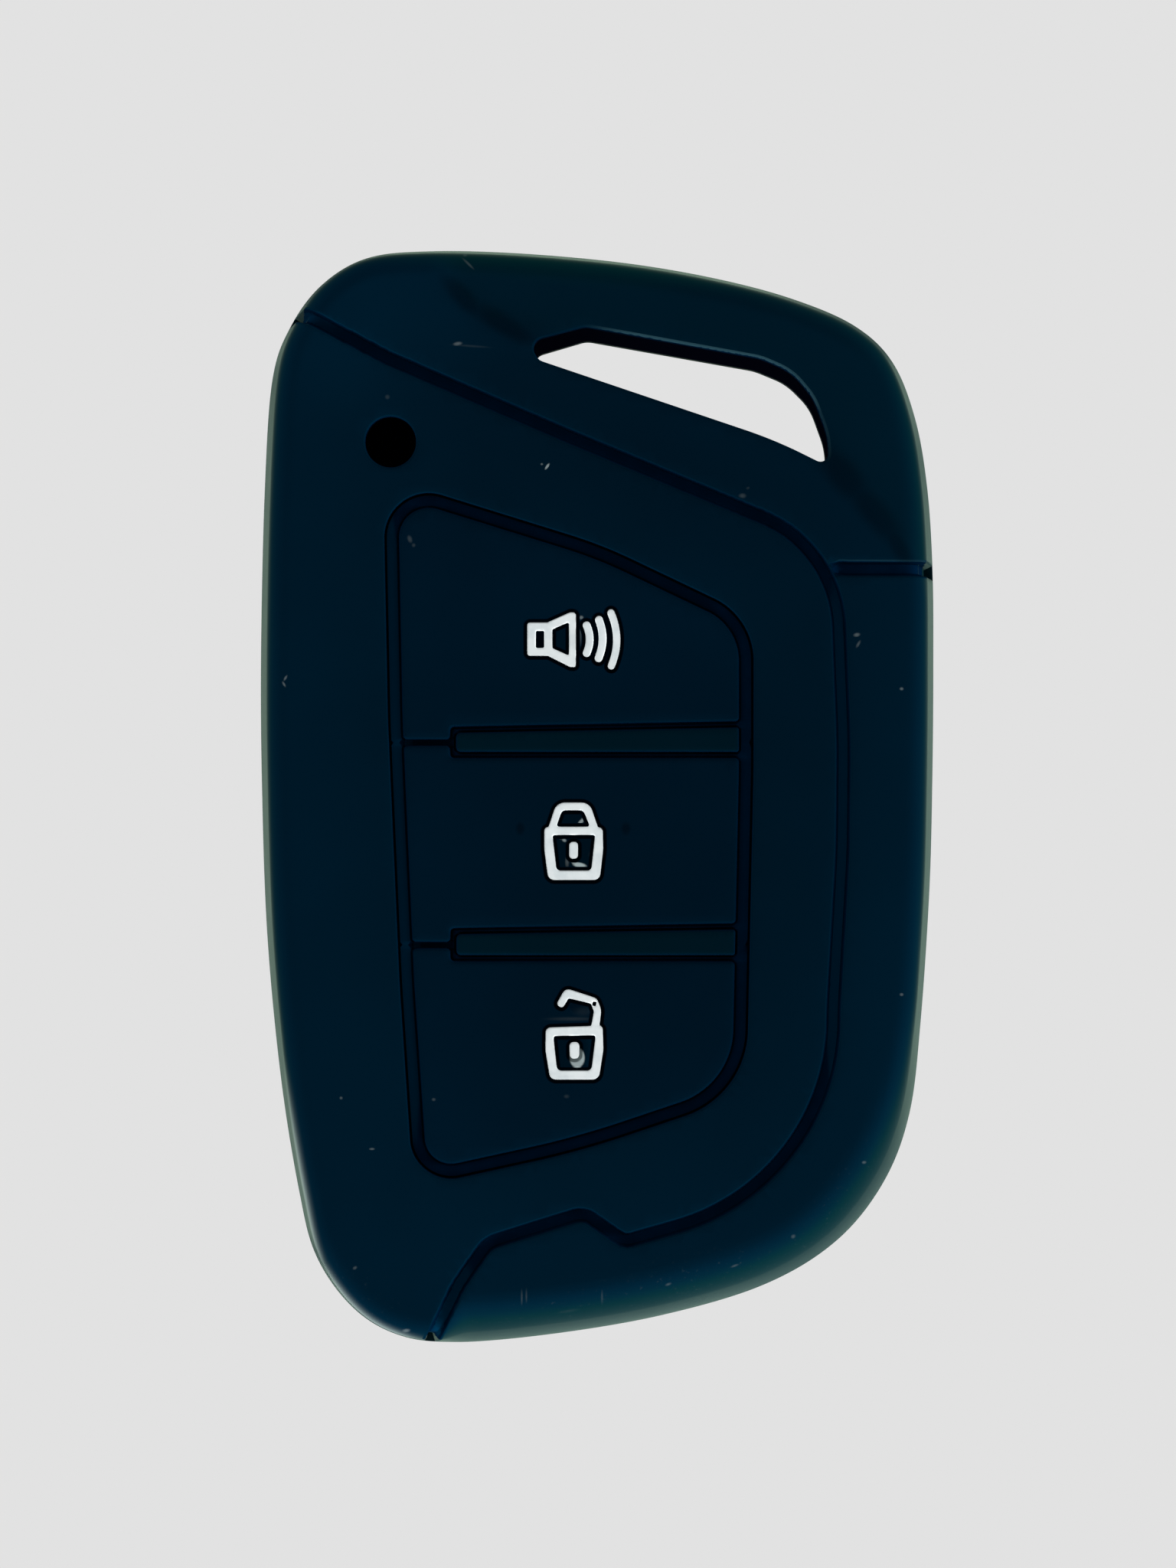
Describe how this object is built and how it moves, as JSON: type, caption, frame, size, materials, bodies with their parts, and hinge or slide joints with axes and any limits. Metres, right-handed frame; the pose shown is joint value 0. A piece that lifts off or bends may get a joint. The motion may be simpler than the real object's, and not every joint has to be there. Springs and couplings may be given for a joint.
{
  "type": "key fob cover",
  "caption": "Soft moulded cover for a key fob, with button pads on thin webs, a light hole, a slanted key-ring slot, decorative grooves and an open back.",
  "frame": {"origin": "on the table under the middle of the cover, as it lies on its back", "axes": "+Z out of the button face, +Y to the key-ring end, +X to the right seen from the button side"},
  "size_m": [0.0446, 0.0722, 0.016],
  "materials": {
    "silicone_skin": "matte moulded silicone, dark petrol blue, faint dust",
    "silicone_buttons": "matte moulded silicone, dark petrol blue",
    "white_ink": "white silicone ink, satin"
  },
  "bodies": {
    "cover": {"front_shell": "silicone_skin", "back_shell": "silicone_skin", "horn_web": "silicone_buttons", "lock_web": "silicone_buttons", "unlock_web": "silicone_buttons", "upper_bar": "silicone_skin", "lower_bar": "silicone_skin"},
    "horn_key": {"horn_pad": "silicone_buttons", "horn_speaker_ink": "white_ink", "horn_wave_small_ink": "white_ink", "horn_wave_middle_ink": "white_ink", "horn_wave_large_ink": "white_ink"},
    "lock_key": {"lock_pad": "silicone_buttons", "lock_outline_ink": "white_ink", "lock_keyhole_ink": "white_ink"},
    "unlock_key": {"unlock_pad": "silicone_buttons", "unlock_outline_ink": "white_ink", "unlock_keyhole_ink": "white_ink"}
  },
  "joints": [
    {"name": "horn_press", "type": "slide", "parent": "cover", "child": "horn_key", "axis": [0, 0, -1], "range_m": [0, 0.0005], "stiffness_N_per_m": 2000, "deforming": ["horn_web"]},
    {"name": "lock_press", "type": "slide", "parent": "cover", "child": "lock_key", "axis": [0, 0, -1], "range_m": [0, 0.0005], "stiffness_N_per_m": 2000, "deforming": ["lock_web"]},
    {"name": "unlock_press", "type": "slide", "parent": "cover", "child": "unlock_key", "axis": [0, 0, -1], "range_m": [0, 0.0005], "stiffness_N_per_m": 2000, "deforming": ["unlock_web"]}
  ]
}
